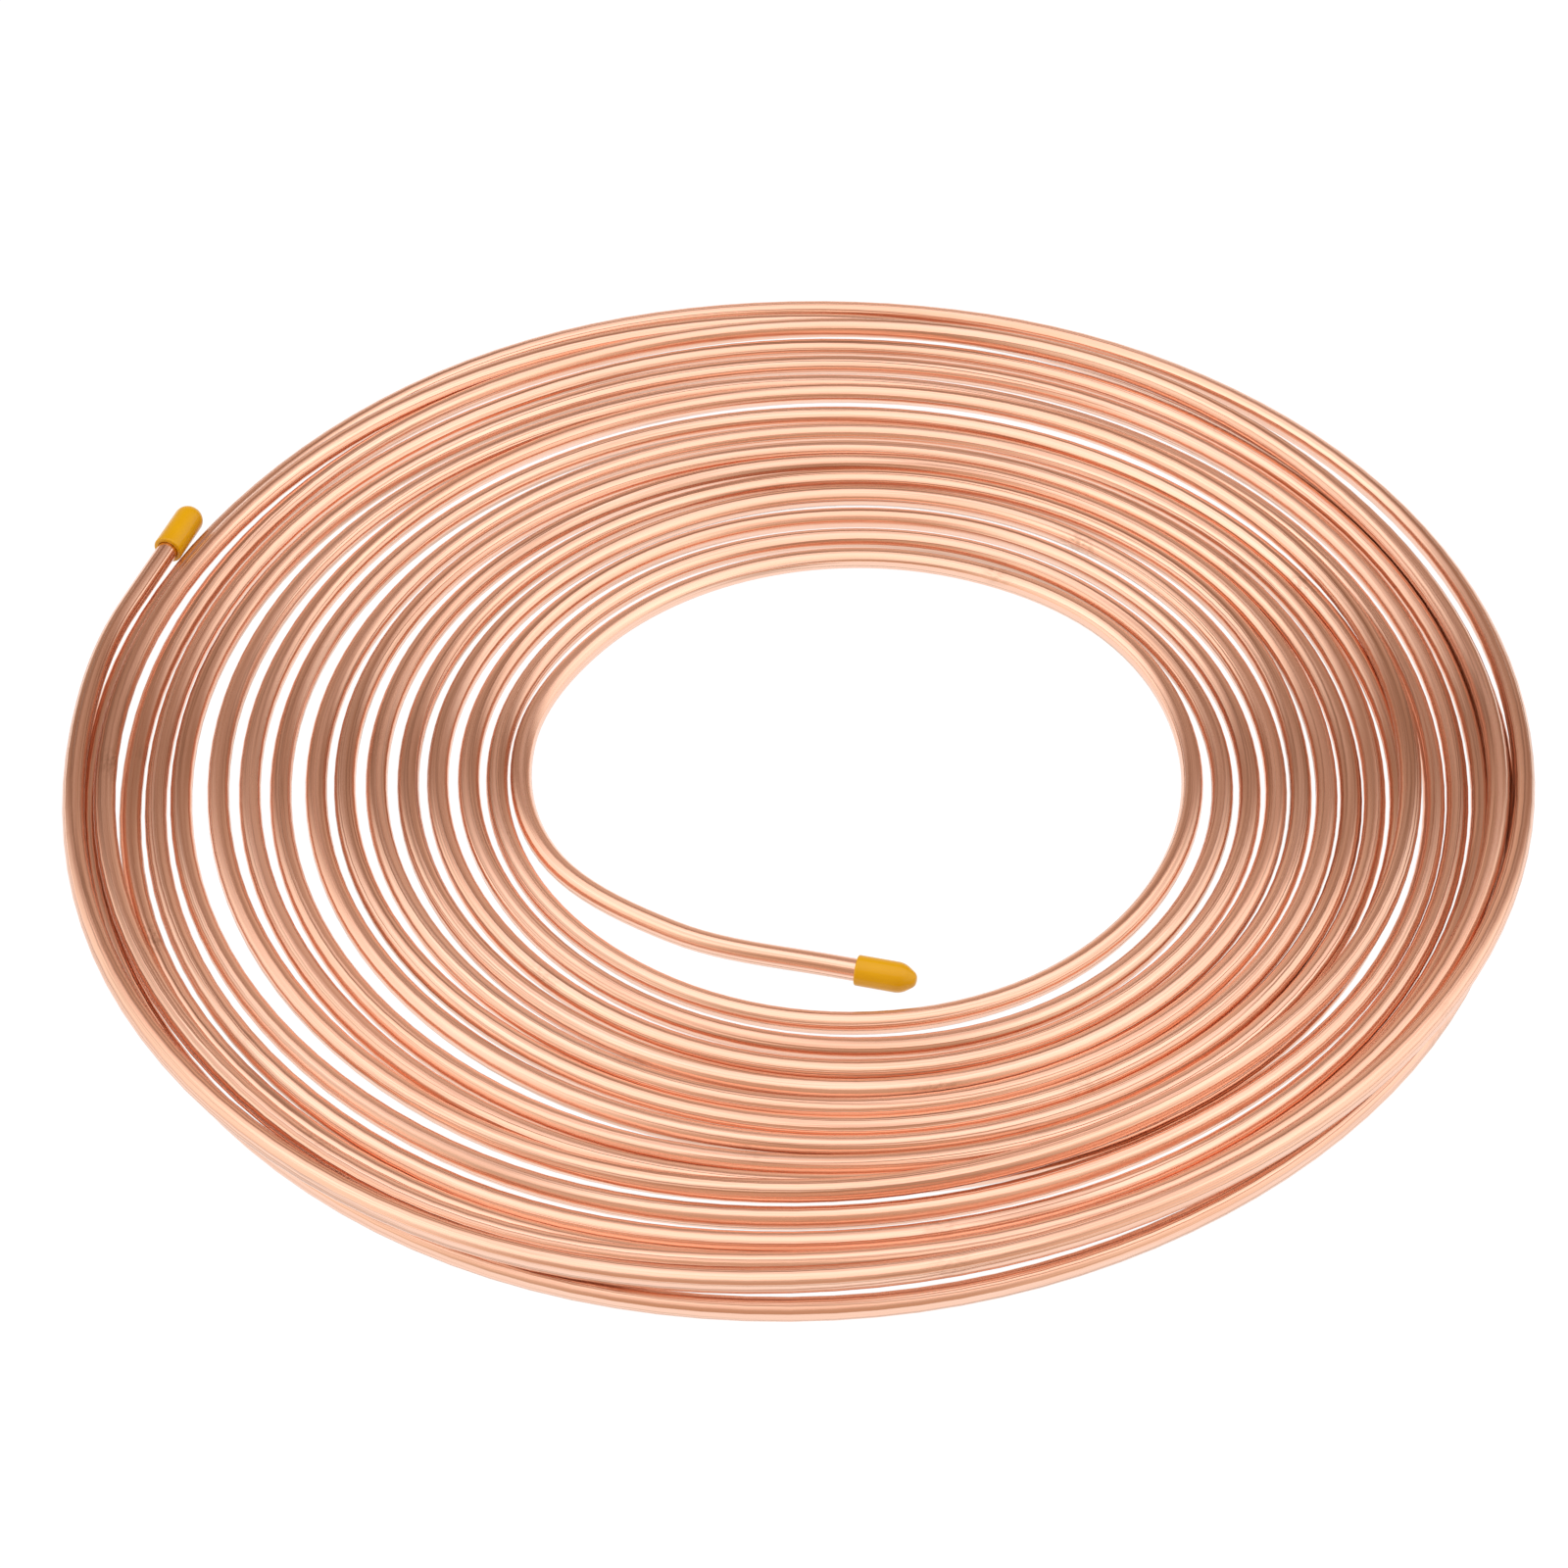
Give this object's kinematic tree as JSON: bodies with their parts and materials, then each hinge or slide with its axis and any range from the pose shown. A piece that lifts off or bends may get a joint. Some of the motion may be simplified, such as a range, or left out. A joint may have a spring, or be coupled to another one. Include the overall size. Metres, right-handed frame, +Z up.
{
  "type": "copper tube coil",
  "caption": "Loose flat coil of soft copper tube wound as a spiral around an open eye, with a push-on plastic cap over each tube end.",
  "frame": {"origin": "middle of the coil's outline, on the floor it lies on", "axes": "+Z up, out of the coil's flat; +X to the right and +Y away from the viewer, both in the plane of the coil"},
  "size_m": [0.401, 0.3984, 0.0149],
  "materials": {
    "copper": "bright drawn copper, satin, with fine lines along the tube",
    "yellow_cap": "glossy soft vinyl"
  },
  "bodies": {
    "root": {"copper_tube": "copper", "inner_end_cap": "yellow_cap", "outer_end_cap": "yellow_cap"}
  },
  "joints": []
}
